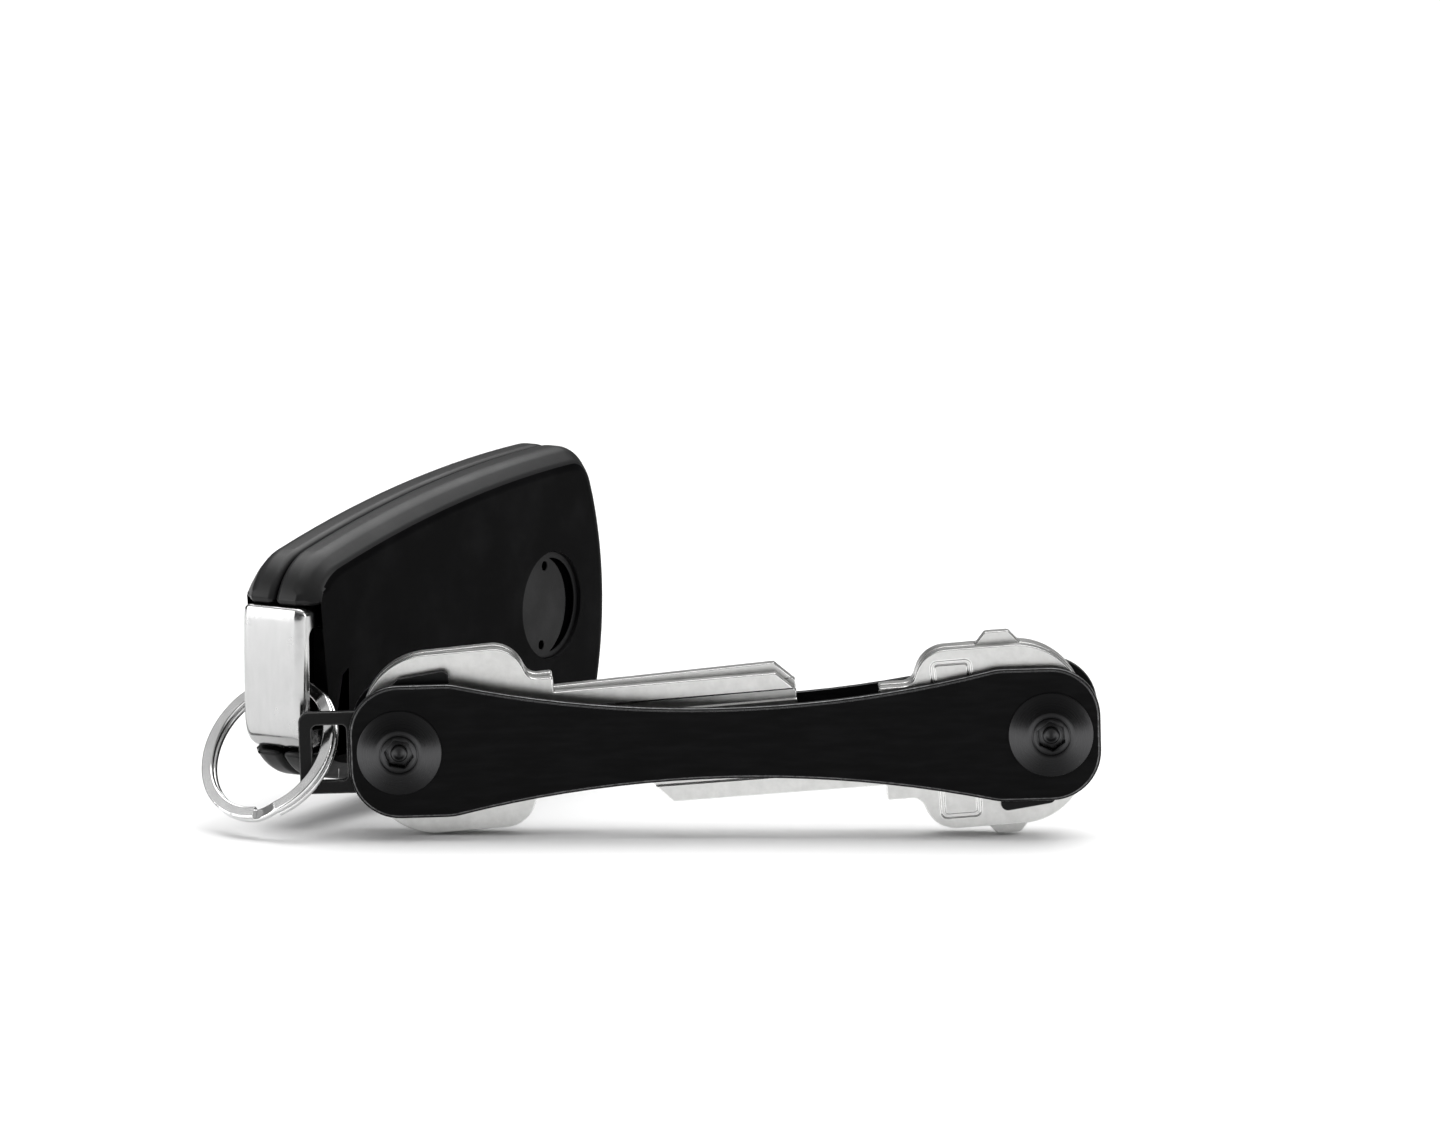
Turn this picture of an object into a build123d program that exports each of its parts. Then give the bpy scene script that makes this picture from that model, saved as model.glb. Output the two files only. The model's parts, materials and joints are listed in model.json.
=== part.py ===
from build123d import *
import math
import os

# A pocket key organiser: two dog-bone plates on two threaded posts, house keys that swing
# out like knife blades, a loop piece, a split ring and the car fob that hangs on it.
#
# Millimetres. +X runs from the loop end to the other end, the front plate faces -Y, +Z is
# up. The organiser stands on its key bows, and the fob stands behind it on its narrow side.
# While the pieces are made, Y = 0 is the front plate's front face and Z = 0 is the surface
# that everything stands on. The finished assembly is then centred on its bounding box.

# ---- organiser plates -------------------------------------------------------------------
post_spacing = 80.0      # between the two post axes
plate_end_height = 16.5  # height of the round ends
plate_waist_height = 8.8
plate_end_radius = 6.15  # corner radius of the ends
waist_radius = 148.0     # long arc of the waist
waist_blend_radius = 7.0
plate_thickness = 1.2
plate_edge_chamfer = 0.3

# ---- posts and screws -------------------------------------------------------------------
post_radius = 2.5
thread_radius = 1.5
screw_length = 6.0
head_radius = 5.2
head_rim = 0.45          # height of the head's straight rim
head_height = 1.25
head_flat_radius = 2.9
socket_flats = 3.2       # across the flats of the hexagon socket
socket_depth = 1.05
turn_clearance = 0.05    # radial, between a post and what turns on it
stack_gap = 0.01         # between one layer of the stack and the next

# ---- layers on the posts ----------------------------------------------------------------
loop_thickness = 1.2
cam_thickness = 0.8
cam_radius = 5.9
cam_nose_reach = 10.2    # from the post axis to the centre of the nose
cam_nose_radius = 0.9
cam_nose_angle = 58.0
cam_heel = (0.4, 7.9)    # the other end of the nose's flat
key_thickness = 1.84
shim_thickness = 0.14    # between two keys
back_washer_thickness = 0.73
washer_radius = 4.6
key_pitch = key_thickness + shim_thickness + 2 * stack_gap
inner_gap = cam_thickness + 2 * key_pitch + key_thickness + back_washer_thickness + 3 * stack_gap

# ---- keys -------------------------------------------------------------------------------
bow_end = 4.5            # bow behind the hole
bow_length = 21.0
bow_height = 22.3
bow_hole_corner = 8.5
bow_blade_corner = 4.0
bow_slant = 1.6          # how far the bow's front leans towards the blade
neck_height = 14.0
neck_corner = 1.6
blade_outer = 5.15       # outer edge of the blade above the hole's axis
blade_inner = 2.6        # inner edge below it
blade_reach = 0.615 * post_spacing    # from the hole to the tip
short_reach = 0.475 * post_spacing
tip_chamfer = 2.4
tip_rise = 1.9           # lower corner of the tip above the inner edge
tip_slant = (1.2, 0.6)   # lower corner of the tip, cut off
first_cut = 4.2          # from the tip to the first cut
cut_pitch = 3.4          # along the blade
cut_flat = 1.3
heel_length = 1.6        # uncut edge beside the shoulder
groove_start = 1.5       # beyond the shoulder
groove_width = 1.3
groove_depth = 0.45
groove_height = 2.4      # front groove's middle above the hole's axis
back_groove_height = 0.3
back_groove_width = 0.9
small_corner = 0.3
tip_corner = 0.2
tab_reach = 12.6         # tip of the tabs on one bow, from the hole's axis
tab_place = 5.8          # middle of the tabs, from the hole along the bow
tab_base = 5.4
tab_top = 2.9
nameplate_width = 5.0
nameplate_height = 19.6
nameplate_place = 11.6
nameplate_line = 0.5
nameplate_depth = 0.15
left_shoulder = 19.4     # from the hole to the step into the blade
right_shoulder = 20.6
left_angles = (3.4, 4.6)         # front to back, counter-clockwise from the plates
right_angles = (2.8, 2.3, 3.2)

# ---- loop piece -------------------------------------------------------------------------
loop_height = 10.2
loop_reach = 12.35       # from the post axis to the outer edge
loop_border = 1.65
loop_window_length = 4.2
loop_corner = 1.3
loop_neck_radius = 6.4   # round end that sits on the post

# ---- split ring -------------------------------------------------------------------------
ring_radius = 9.72       # outer
ring_radial = 1.6        # wire section across the ring
ring_axial = 0.78        # wire section along the ring's axis
ring_coil_gap = 0.04
ring_corner = 0.3
ring_join = 20.0         # degrees that the step between the two coils takes
ring_join_turn = 78.0    # where the step is, counted from the loop window
ring_axis = Vector(0.4984, 0.6651, -0.5561)
ring_to_centre = Vector(-0.845, 0.512, -0.145)   # from the loop window to the ring's centre
ring_window_place = (8.65, 0.85)                 # where the wire passes the window, from the post

# ---- fob --------------------------------------------------------------------------------
fob_turn = 58.8          # from +X towards +Y, seen from above
fob_pitch = 0.3          # far end up
fob_length = 68.0
fob_near_width = 29.0
fob_far_width = 40.9
fob_near_corner = 8.8
fob_far_corner = 6.9
fob_side_radius = 260.0  # the long sides, the far end and the ring end bulge
fob_far_radius = 44.0
fob_near_radius = 166.0
fob_thickness = 11.0
fob_edge = 2.2           # bevel round both faces
fob_wall = 1.5
fob_seam = 0.1
eye_through = 4.49       # where the ring's wire passes, from the fob's near end
eye_drop = 2.38          # and below the fob's middle
cap_bar = 1.8            # chrome end bar
cap_length = 8.0
cap_height = 18.2
cap_drop = 1.1           # its middle below the fob's middle
cap_thickness = fob_thickness - 1.8
cap_eye_height = 12.6
cap_eye_corner = 1.0
cap_round = 1.2
cap_top_corner = 0.5
cap_low_corner = 3.2
cap_clearance = 0.15
cap_tongue = 3.0         # depth of the cap's tongue in the shells
cap_tongue_height = 15.6
cap_tongue_thickness = 4.4
tongue_root = 1.0        # how far the tongue starts inside the cap
spare_blade_length = 34.0
spare_blade_width = 7.0
spare_blade_thickness = 1.8
spare_tip = (2.0, 2.4)
spare_cuts = (1.2, 0.6, 1.5, 0.9, 1.4, 0.5)
spare_first_cut = 3.4
spare_cut_pitch = 3.6
spare_cut_flat = 1.4
spare_heel = 8.0
spare_gap = 0.4          # between the board and the spare blade
cover_radius = 6.9
cover_thickness = 1.1
cover_place = (55.8, 0.6)
cover_sink = 0.5         # the cover lies below the face
cover_rim = 0.8          # outside the crescent slot
cover_slot_shift = 2.6   # of the crescent's inner circle
cover_slot_depth = 0.5
dimple_angles = (100, 250)
dimple_radius = 0.6
cover_seat = 0.9         # depth of the seat under the cover, inside the wall
cover_seat_width = 1.0
seal_section = 0.5
seal_clearance = 0.1
cell_radius = 5.0
cell_thickness = 2.0
cell_clearance = 0.65    # below the case's wall
contact_place = 3.2      # contacts on both sides of the cell's middle
contact_size = (1.2, 4.0)
board_thickness = 0.8
board_level = 3.8 - fob_thickness / 2    # board's middle, from the fob's middle plane
board_margin = 1.2       # between the board and the case
board_end_room = 3.5     # between the cap's tongue and the board
spare_level = board_level + (board_thickness + spare_blade_thickness) / 2 + spare_gap
button_places = (23.5, 36.0, 48.5)
button_length = 10.0
button_width = 15.0
button_corner = 2.4
button_edge = 0.3
button_proud = 0.5
button_gap = 0.2
button_travel = 0.4
switch_size = 3.6
switch_height = 0.7
switch_gap = 0.05        # between a pressed stem and its switch
stem_size = 2.0
slider_length = 5.0
slider_width = 8.0
slider_travel = 1.5
slider_place = 13.0
slider_foot = (1.0, 2.4, 0.6)    # longer and wider than the thumb piece, and its thickness
slider_foot_gap = 0.1
slider_link = (1.0, 0.4)         # smaller than the thumb piece, and its thickness
slider_rib = (0.5, 0.25)
slider_rib_pitch = 1.4
opening_depth = fob_wall + 0.5


# ---- helpers ----------------------------------------------------------------------------
def slab(sketch, front, thickness):
    """A sketch drawn as seen from the front, made solid from depth `front` backwards."""
    back = Plane(origin=(0, front + thickness, 0), x_dir=(1, 0, 0), z_dir=(0, -1, 0))
    return extrude(back * sketch, thickness)


def outline(*corners):
    """A closed face from (x, y, corner radius) points."""
    points = [(x, y) for x, y, _ in corners]
    return make_face(FilletPolyline(*points, radius=[r for _, _, r in corners], close=True))


def turned(shape, degrees):
    """Turned about the origin, counter-clockwise as seen from the front."""
    return Rotation(0, -degrees, 0) * shape


def hull_of(*circles):
    """The outline round some circles, each (x, y, radius)."""
    edges = [Pos(x, y) * Circle(r).edge() for x, y, r in circles]
    return make_hull(ShapeList(edges))


def one(shape):
    """The solids of a shape as one compound, or the solid itself if there is only one."""
    solids = shape.solids()
    return solids[0] if len(solids) == 1 else Compound(children=list(solids))


def at_posts(shape):
    """The shape at the left post, and again at the right post, turned end for end."""
    return [Pos(-post_spacing / 2, 0, 0) * shape,
            Pos(post_spacing / 2, 0, 0) * Rotation(0, 180, 0) * shape]


# ---- organiser --------------------------------------------------------------------------
key_fronts = [plate_thickness + cam_thickness + stack_gap + i * key_pitch for i in range(3)]
back_front = plate_thickness + inner_gap     # front face of the back plate
body_back = back_front + plate_thickness


def plate_outline():
    """Round-cornered ends joined by a concave waist."""
    top = plate_end_height / 2
    waist = plate_waist_height / 2
    big = Vector(0, waist + waist_radius)
    small_y = top - waist_blend_radius
    reach = waist_radius + waist_blend_radius
    small = Vector(math.sqrt(reach ** 2 - (big.Y - small_y) ** 2), small_y)
    tangent = big + (small - big) * (waist_radius / reach)
    middle = (tangent - small + Vector(0, waist_blend_radius)).normalized()
    blend_middle = small + middle * waist_blend_radius
    corner = Vector(post_spacing / 2, top - plate_end_radius)
    diagonal = Vector(1, 1).normalized() * plate_end_radius
    end_x = corner.X + plate_end_radius

    half = [ThreePointArc(tangent, blend_middle, (small.X, top)),
            Line((small.X, top), (corner.X, top)),
            ThreePointArc((corner.X, top), corner + diagonal, (end_x, corner.Y))]
    quarter = Curve(half)
    right = [quarter, mirror(quarter, Plane.XZ)]
    left = [mirror(curve, Plane.YZ) for curve in right]
    edges = [edge for curve in right + left for edge in curve.edges()]
    edges += [Line((side * end_x, corner.Y), (side * end_x, -corner.Y)).edge() for side in (1, -1)]
    for side in (1, -1):
        edges.append(ThreePointArc((-tangent.X, side * tangent.Y), (0, side * waist),
                                   (tangent.X, side * tangent.Y)).edge())
    return make_face(Wire(edges))


def plate(front, outer_face):
    """A plate with post holes, its edge chamfered on the outer face."""
    body = slab(plate_outline(), front, plate_thickness)
    face = body.faces().sort_by(Axis.Y)[0 if outer_face == "front" else -1]
    body = chamfer(face.edges(), plate_edge_chamfer)
    holes = [slab(Pos(x, 0) * Circle(post_radius + stack_gap), front, plate_thickness)
             for x in (-post_spacing / 2, post_spacing / 2)]
    return body - holes


def head():
    """A low cone head on the Y axis, its seat at Y = 0 and its top towards -Y."""
    profile = Plane.XY * make_face(Polyline(
        (0, 0), (head_radius, 0), (head_radius, -head_rim),
        (head_flat_radius, -head_height), (0, -head_height), close=True))
    return revolve(profile, Axis.Y)


def screw():
    """Hexagon socket screw from the front into the post."""
    shank = slab(Circle(thread_radius - stack_gap), 0, screw_length)
    socket = slab(RegularPolygon(socket_flats / math.sqrt(3), 6, rotation=30),
                  -head_height, socket_depth)
    collar = slab(Circle(head_flat_radius - 0.6) - Circle(head_flat_radius - 0.75),
                  -head_height, 0.15)
    return head() + shank - socket - collar


def post():
    """Threaded post with a head on the back plate."""
    barrel = slab(Circle(post_radius), stack_gap, body_back - stack_gap)
    bore = slab(Circle(thread_radius), stack_gap, screw_length + 0.5)
    back_head = Pos(0, body_back, 0) * Rotation(180, 0, 0) * head()
    return barrel + back_head - bore


def cam(front):
    """Spacer with a nose that braces it against the next plate edge."""
    nose = (cam_nose_reach * math.cos(math.radians(cam_nose_angle)),
            cam_nose_reach * math.sin(math.radians(cam_nose_angle)), cam_nose_radius)
    heel = (*cam_heel, cam_nose_radius)
    sketch = hull_of((0, 0, cam_radius), nose, heel) - Circle(post_radius + turn_clearance)
    return slab(sketch, front + stack_gap, cam_thickness - 2 * stack_gap)


def washer(front, thickness):
    sketch = Circle(washer_radius) - Circle(post_radius + turn_clearance)
    return slab(sketch, front, thickness)


def key_outline(shoulder, reach, cuts, tabs):
    """Bow, neck and blade, the hole at the origin and the cut edge of the blade below."""
    bow = bow_height / 2
    neck = neck_height / 2
    bow_front = bow_length - bow_end - bow_slant
    upper = [(-bow_end, bow, bow_hole_corner), (bow_front, bow, bow_blade_corner),
             (bow_front + bow_slant, neck, neck_corner), (shoulder, neck, small_corner),
             (shoulder, blade_outer, 0), (reach - tip_chamfer, blade_outer, tip_corner),
             (reach, blade_outer - tip_chamfer, tip_corner)]
    tip_low = -blade_inner + tip_rise
    lower = [(reach, tip_low + tip_slant[1], tip_corner), (reach - tip_slant[0], tip_low, 0)]
    for i, depth in enumerate(reversed(cuts)):
        middle = reach - first_cut - i * cut_pitch
        lower.append((middle + cut_flat / 2, -blade_inner + depth, 0))
        lower.append((middle - cut_flat / 2, -blade_inner + depth, 0))
    lower += [(shoulder + heel_length, -blade_inner, 0), (shoulder, -blade_inner, 0),
              (shoulder, -neck, small_corner),
              (bow_front + bow_slant, -neck, neck_corner), (bow_front, -bow, bow_blade_corner),
              (-bow_end, -bow, bow_hole_corner)]
    face = outline(*upper, *lower)
    if tabs:
        for side in (1, -1):
            face += outline((tab_place - tab_base / 2, 0, 0), (tab_place + tab_base / 2, 0, 0),
                            (tab_place + tab_base / 2, side * bow, small_corner),
                            (tab_place + tab_top / 2, side * tab_reach, 2 * small_corner),
                            (tab_place - tab_top / 2, side * tab_reach, 2 * small_corner),
                            (tab_place - tab_base / 2, side * bow, small_corner))
    return face


def key(front, angle, shoulder, reach, cuts, tabs=False, nameplate=False):
    """One key, pivoting at the origin, its grooves milled in both faces of the blade."""
    body = slab(key_outline(shoulder, reach, cuts, tabs), front, key_thickness)
    body -= slab(Circle(post_radius + turn_clearance), front, key_thickness)
    run = reach - shoulder
    middle = shoulder + run / 2 + groove_start
    groove = Pos(middle, groove_height) * Rectangle(run, groove_width)
    body -= slab(groove, front, groove_depth)
    second = Pos(middle, back_groove_height) * Rectangle(run, back_groove_width)
    body -= slab(second, front + key_thickness - groove_depth, groove_depth)
    if nameplate:
        place = Pos(nameplate_place, 0)
        frame = (place * RectangleRounded(nameplate_width, nameplate_height, 0.8)
                 - place * RectangleRounded(nameplate_width - 2 * nameplate_line,
                                            nameplate_height - 2 * nameplate_line, 0.4))
        body -= slab(frame, front, nameplate_depth)
    return turned(body, angle)


def loop_piece():
    """Flat tab on the left post with a window for the split ring."""
    half = loop_height / 2
    neck = (0, 0, loop_neck_radius)
    corners = [(-loop_reach + loop_corner, side * (half - loop_corner), loop_corner) for side in (1, -1)]
    inner = [(-loop_neck_radius / 2, side * (half - loop_corner), loop_corner) for side in (1, -1)]
    sketch = hull_of(*corners, *inner) + Circle(loop_neck_radius)
    window_middle = -loop_reach + loop_border + loop_window_length / 2
    window = Pos(window_middle, 0) * RectangleRounded(
        loop_window_length, loop_height - 2 * loop_border, loop_corner / 2)
    sketch -= window
    sketch -= Circle(post_radius + turn_clearance)
    return slab(sketch, plate_thickness + stack_gap, loop_thickness - 2 * stack_gap)


def left_side(shape):
    return Pos(-post_spacing / 2, 0, 0) * shape


def right_side(shape):
    """Turned end for end at the right post, so that keys point left."""
    return Pos(post_spacing / 2, 0, 0) * Rotation(0, 180, 0) * shape


def organiser():
    """Every piece on the posts, before the organiser is stood up."""
    gap = stack_gap
    shim = shim_thickness
    long_cuts = (1.1, 1.7, 0.9, 1.5, 1.2, 1.6)
    other_cuts = (1.6, 1.0, 1.4, 1.8, 1.1, 1.5)
    short_cuts = (1.3, 1.8, 1.2)
    short_others = (1.7, 1.2, 1.6)
    left_stop = key_fronts[1] - gap
    nodes = {}
    nodes["front_plate"] = plate(0, "front")
    nodes["back_plate"] = plate(back_front, "back")
    nodes["posts"] = Compound(children=at_posts(post()))
    nodes["screws"] = Compound(children=at_posts(screw()))
    nodes["left_cam_spacer"] = left_side(cam(plate_thickness + loop_thickness))
    nodes["right_cam_spacer"] = right_side(cam(plate_thickness))
    fill_front = plate_thickness + loop_thickness + cam_thickness
    nodes["left_spacer_washer"] = left_side(washer(fill_front, left_stop - fill_front - gap))
    last = key_fronts[2] + key_thickness + gap
    backs = at_posts(washer(last, back_washer_thickness))
    nodes["back_washers"] = Compound(children=backs)
    shims = [left_side(washer(key_fronts[2] - shim - gap, shim))]
    shims += [right_side(washer(key_fronts[i] - shim - gap, shim)) for i in (1, 2)]
    nodes["key_shims"] = Compound(children=shims)
    nodes["loop_piece"] = left_side(loop_piece())
    nodes["left_front_key"] = left_side(
        key(key_fronts[1], left_angles[0], left_shoulder, blade_reach, long_cuts))
    nodes["left_back_key"] = left_side(
        key(key_fronts[2], left_angles[1], left_shoulder, blade_reach, other_cuts))
    nodes["right_front_key"] = right_side(
        key(key_fronts[0], right_angles[0], right_shoulder, blade_reach, other_cuts, nameplate=True))
    nodes["right_middle_key"] = right_side(
        key(key_fronts[1], right_angles[1], right_shoulder, short_reach, short_cuts, tabs=True))
    nodes["right_back_key"] = right_side(
        key(key_fronts[2], right_angles[2], right_shoulder, short_reach, short_others))
    return nodes


def stand_up(nodes):
    """Tilts and lifts the organiser until a left bow and a right bow both touch Z = 0."""
    left = ("left_front_key", "left_back_key")
    right = ("right_front_key", "right_middle_key", "right_back_key")
    tilt = 0.0
    for _ in range(4):
        place = Rotation(0, -tilt, 0)
        low_left = min((place * nodes[name]).bounding_box().min.Z for name in left)
        low_right = min((place * nodes[name]).bounding_box().min.Z for name in right)
        tilt += math.degrees(math.asin((low_left - low_right) / post_spacing))
    low = min(low_left, low_right)
    return Pos(0, 0, -low) * Rotation(0, -tilt, 0)


# ---- split ring -------------------------------------------------------------------------
def ring_plane(window):
    """The ring's own plane: its centre, X towards the loop window, Z along its axis."""
    middle_radius = ring_radius - ring_radial / 2
    return Plane(origin=window + ring_to_centre.normalized() * middle_radius,
                 x_dir=-ring_to_centre, z_dir=ring_axis)


def split_ring():
    """Two flat coils joined by a short step, each with one free end beside the step."""
    middle = ring_radius - ring_radial / 2
    offset = (ring_axial + ring_coil_gap) / 2
    section = RectangleRounded(ring_radial, ring_axial, ring_corner)

    def section_at(degrees, level):
        radial = Vector(1, 0, 0).rotate(Axis.Z, degrees)
        along = Vector(0, 1, 0).rotate(Axis.Z, degrees)
        return Plane(origin=radial * middle + Vector(0, 0, level), x_dir=radial, z_dir=along) * section

    half = ring_join / 2
    coils = [revolve(section_at(half, level), Axis.Z, 360 - ring_join) for level in (-offset, offset)]
    step = loft([section_at(-half, -offset), section_at(0, 0), section_at(half, offset)])
    return Rotation(0, 0, ring_join_turn) * (coils[0] + step + coils[1])


# ---- fob --------------------------------------------------------------------------------
# In the fob's own plane X runs from the ring end to the wide end, Y is up and Z comes out
# of the face with the battery cover. The buttons are on the other face.
def point_on(centre, through, radius):
    """The point at that radius from a centre, on the line through another point."""
    return centre + (through - centre).normalized() * radius


def fob_outline(inset=0.0):
    """Four round corners joined by long arcs, each arc tangent to both of its corners."""
    near = Vector(fob_near_corner, fob_near_width / 2 - fob_near_corner)
    far = Vector(fob_length - fob_far_corner, fob_far_width / 2 - fob_far_corner)
    to_near = fob_side_radius - fob_near_corner
    to_far = fob_side_radius - fob_far_corner
    apart = (far - near).length
    along = (to_near ** 2 - to_far ** 2 + apart ** 2) / (2 * apart)
    down = math.sqrt(to_near ** 2 - along ** 2)
    forward = (far - near).normalized()
    side = near + forward * along + Vector(forward.Y, -forward.X) * down
    far_middle = Vector(far.X - math.sqrt((fob_far_radius - fob_far_corner) ** 2 - far.Y ** 2), 0)
    near_middle = Vector(near.X + math.sqrt((fob_near_radius - fob_near_corner) ** 2 - near.Y ** 2), 0)

    side_near = point_on(side, near, fob_side_radius - inset)
    side_far = point_on(side, far, fob_side_radius - inset)
    side_top = point_on(side, (near + far) / 2, fob_side_radius - inset)
    end_far = point_on(far_middle, far, fob_far_radius - inset)
    end_near = point_on(near_middle, near, fob_near_radius - inset)
    far_corner = point_on(far, (side_far + end_far) / 2, fob_far_corner - inset)
    near_corner = point_on(near, (side_near + end_near) / 2, fob_near_corner - inset)
    half = [ThreePointArc(end_near, near_corner, side_near).edge(),
            ThreePointArc(side_near, side_top, side_far).edge(),
            ThreePointArc(side_far, far_corner, end_far).edge()]
    edges = half + [mirror(edge, Plane.XZ).edge() for edge in half]
    edges.append(ThreePointArc(end_far, far_middle + Vector(fob_far_radius - inset, 0),
                               (end_far.X, -end_far.Y)).edge())
    edges.append(ThreePointArc(end_near, near_middle - Vector(fob_near_radius - inset, 0),
                               (end_near.X, -end_near.Y)).edge())
    return make_face(Wire(edges))


def block(x, y, z, centre):
    return Pos(*centre) * Box(x, y, z)


def shell(side):
    """One half of the case, on +Z for side 1 and on -Z for side -1, hollow and open at the seam."""
    half = fob_thickness / 2
    gap = fob_seam / 2
    body = Pos(0, 0, gap) * extrude(fob_outline(), half - gap)
    body = chamfer(body.faces().sort_by(Axis.Z)[-1].edges(), fob_edge)
    room = Pos(0, 0, gap) * extrude(fob_outline(fob_wall), half - gap - fob_wall)
    room = chamfer(room.faces().sort_by(Axis.Z)[-1].edges(), fob_edge - fob_wall / 2)
    end_wall = block(cap_length + fob_wall, fob_far_width, fob_thickness,
                     ((cap_length + fob_wall) / 2, 0, 0))
    body -= room - end_wall
    body = body if side > 0 else mirror(body, Plane.XY)
    body -= block(2 * cap_length, cap_height + 2 * cap_clearance, 2 * fob_thickness, (0, -cap_drop, 0))
    return body - block(2 * cap_tongue, cap_tongue_height + 2 * cap_clearance,
                        cap_tongue_thickness + 2 * cap_clearance,
                        (cap_length + cap_tongue, -cap_drop, 0))


def cover_shell():
    """The half with the battery opening."""
    body = shell(1)
    half = fob_thickness / 2
    place = Pos(*cover_place, 0)
    body += place * Pos(0, 0, half - fob_wall - cover_seat) * extrude(
        Circle(cover_radius + cover_seat_width), cover_seat + fob_wall / 2)
    body -= place * Pos(0, 0, half - cover_sink - cover_thickness) * extrude(
        Circle(cover_radius + turn_clearance), cover_sink + cover_thickness)
    return body - place * extrude(Circle(cover_radius - cover_seat_width), half)


def battery_cover():
    """Round cover that lies below the face, with a crescent coin slot."""
    top = fob_thickness / 2 - cover_sink
    body = Pos(0, 0, top - cover_thickness + stack_gap) * extrude(Circle(cover_radius), cover_thickness)
    band = (Circle(cover_radius - cover_rim)
            - Pos(-cover_slot_shift, 0) * Circle(cover_radius - cover_rim / 4))
    body -= Pos(0, 0, top + stack_gap - cover_slot_depth) * extrude(band, cover_slot_depth)
    for degrees in dimple_angles:
        dimple = Vector(cover_radius - 2 * cover_rim, 0, 0).rotate(Axis.Z, degrees)
        body -= Pos(dimple.X, dimple.Y, top + stack_gap - cover_slot_depth) * extrude(
            Circle(dimple_radius), cover_slot_depth)
    return Pos(*cover_place, 0) * body


def cover_seal():
    level = fob_thickness / 2 - cover_sink - cover_thickness - seal_section
    outer = cover_radius - cover_seat_width - seal_clearance
    ring = Circle(outer) - Circle(outer - seal_section)
    return Pos(*cover_place, level) * extrude(ring, seal_section)


def button_shell():
    """The half with the button openings and the slider opening."""
    body = shell(-1)
    half = fob_thickness / 2
    for x in button_places:
        hole = RectangleRounded(button_length + 2 * button_gap, button_width + 2 * button_gap,
                                button_corner + button_gap)
        body -= Pos(x, 0, -half) * extrude(hole, opening_depth)
    body -= block(slider_length + slider_travel + 2 * button_gap, slider_width + 2 * button_gap,
                  opening_depth, (slider_place + slider_travel / 2, 0, -half + opening_depth / 2))
    return body


def button(x):
    """Key cap with a skirt inside the shell and a stem down to its switch."""
    half = fob_thickness / 2
    cap = Pos(x, 0, -half - button_proud) * extrude(
        RectangleRounded(button_length, button_width, button_corner), button_proud + fob_wall)
    cap = fillet(cap.faces().sort_by(Axis.Z)[0].edges(), button_edge)
    stem_bottom = board_level - board_thickness / 2 - switch_height - switch_gap - button_travel
    stem = block(stem_size, stem_size, stem_bottom + half - fob_wall,
                 (x, 0, (stem_bottom - half + fob_wall) / 2))
    return cap + stem


def slider():
    """Release slider for the spare key: a ribbed thumb piece on a foot inside the shell."""
    half = fob_thickness / 2
    thumb = block(slider_length, slider_width, fob_wall + button_proud,
                  (slider_place, 0, -half + (fob_wall - button_proud) / 2))
    longer, wider, thick = slider_foot
    foot = block(slider_length + longer, slider_width + wider, thick,
                 (slider_place, 0, -half + fob_wall + slider_foot_gap + thick / 2))
    smaller, link_thickness = slider_link
    link = block(slider_length - smaller, slider_width - smaller, link_thickness,
                 (slider_place, 0, -half + fob_wall))
    width, depth = slider_rib
    level = -half - button_proud + depth / 2
    ribs = [block(width, slider_width, depth, (slider_place + i * slider_rib_pitch, 0, level))
            for i in (-1, 0, 1)]
    return thumb + link + foot - ribs


def end_cap():
    """Chrome shackle round the eye that carries on the fob's outline, with a tongue for the blade."""
    side = fob_outline() & (Pos(0, -cap_drop) * Rectangle(2 * cap_length, cap_height))
    for order, radius in ((0, cap_low_corner), (-1, cap_top_corner)):
        corners = side.vertices().filter_by(lambda corner: corner.X < cap_bar)
        side = fillet(corners.sort_by(Axis.Y)[order], radius)
    body = Pos(0, 0, -cap_thickness / 2) * extrude(side, cap_thickness)
    body = fillet(body.edges().filter_by(lambda edge: edge.center().X < cap_bar
                                         and abs(edge.center().Z) > cap_thickness / 3), cap_round)
    length = tongue_root + cap_tongue - cap_clearance
    tongue = block(length, cap_tongue_height, cap_tongue_thickness,
                   (cap_length - tongue_root + length / 2, -cap_drop, 0))
    eye_length = cap_length - cap_bar
    eye = Pos(cap_bar + eye_length / 2, -cap_drop, -fob_thickness) * extrude(
        RectangleRounded(eye_length, cap_eye_height, cap_eye_corner), 2 * fob_thickness)
    return body + tongue - eye


def spare_blade():
    """The emergency blade, cut along one edge, fixed in the cap's tongue."""
    start = cap_length + tongue_root
    low = -spare_blade_width / 2
    high = spare_blade_width / 2
    end = start + spare_blade_length
    tip_length, tip_height = spare_tip
    points = [(start, low), (start, high), (end - tip_length, high), (end, high - tip_height),
              (end, low + tip_height)]
    for i, depth in enumerate(spare_cuts):
        middle = end - spare_first_cut - i * spare_cut_pitch
        points += [(middle + spare_cut_flat / 2, low + depth), (middle - spare_cut_flat / 2, low + depth)]
    points.append((start + spare_heel, low))
    face = make_face(Polyline(*points, close=True))
    return Pos(0, -cap_drop, spare_level - spare_blade_thickness / 2) * extrude(face, spare_blade_thickness)


def circuit_board():
    outline_face = fob_outline(fob_wall + board_margin)
    room = block(2 * (cap_length + cap_tongue + board_end_room), fob_far_width, fob_thickness, (0, 0, 0))
    board = extrude(outline_face, board_thickness) - Pos(0, 0, board_thickness / 2) * room
    return Pos(0, 0, board_level - board_thickness / 2) * board


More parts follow.
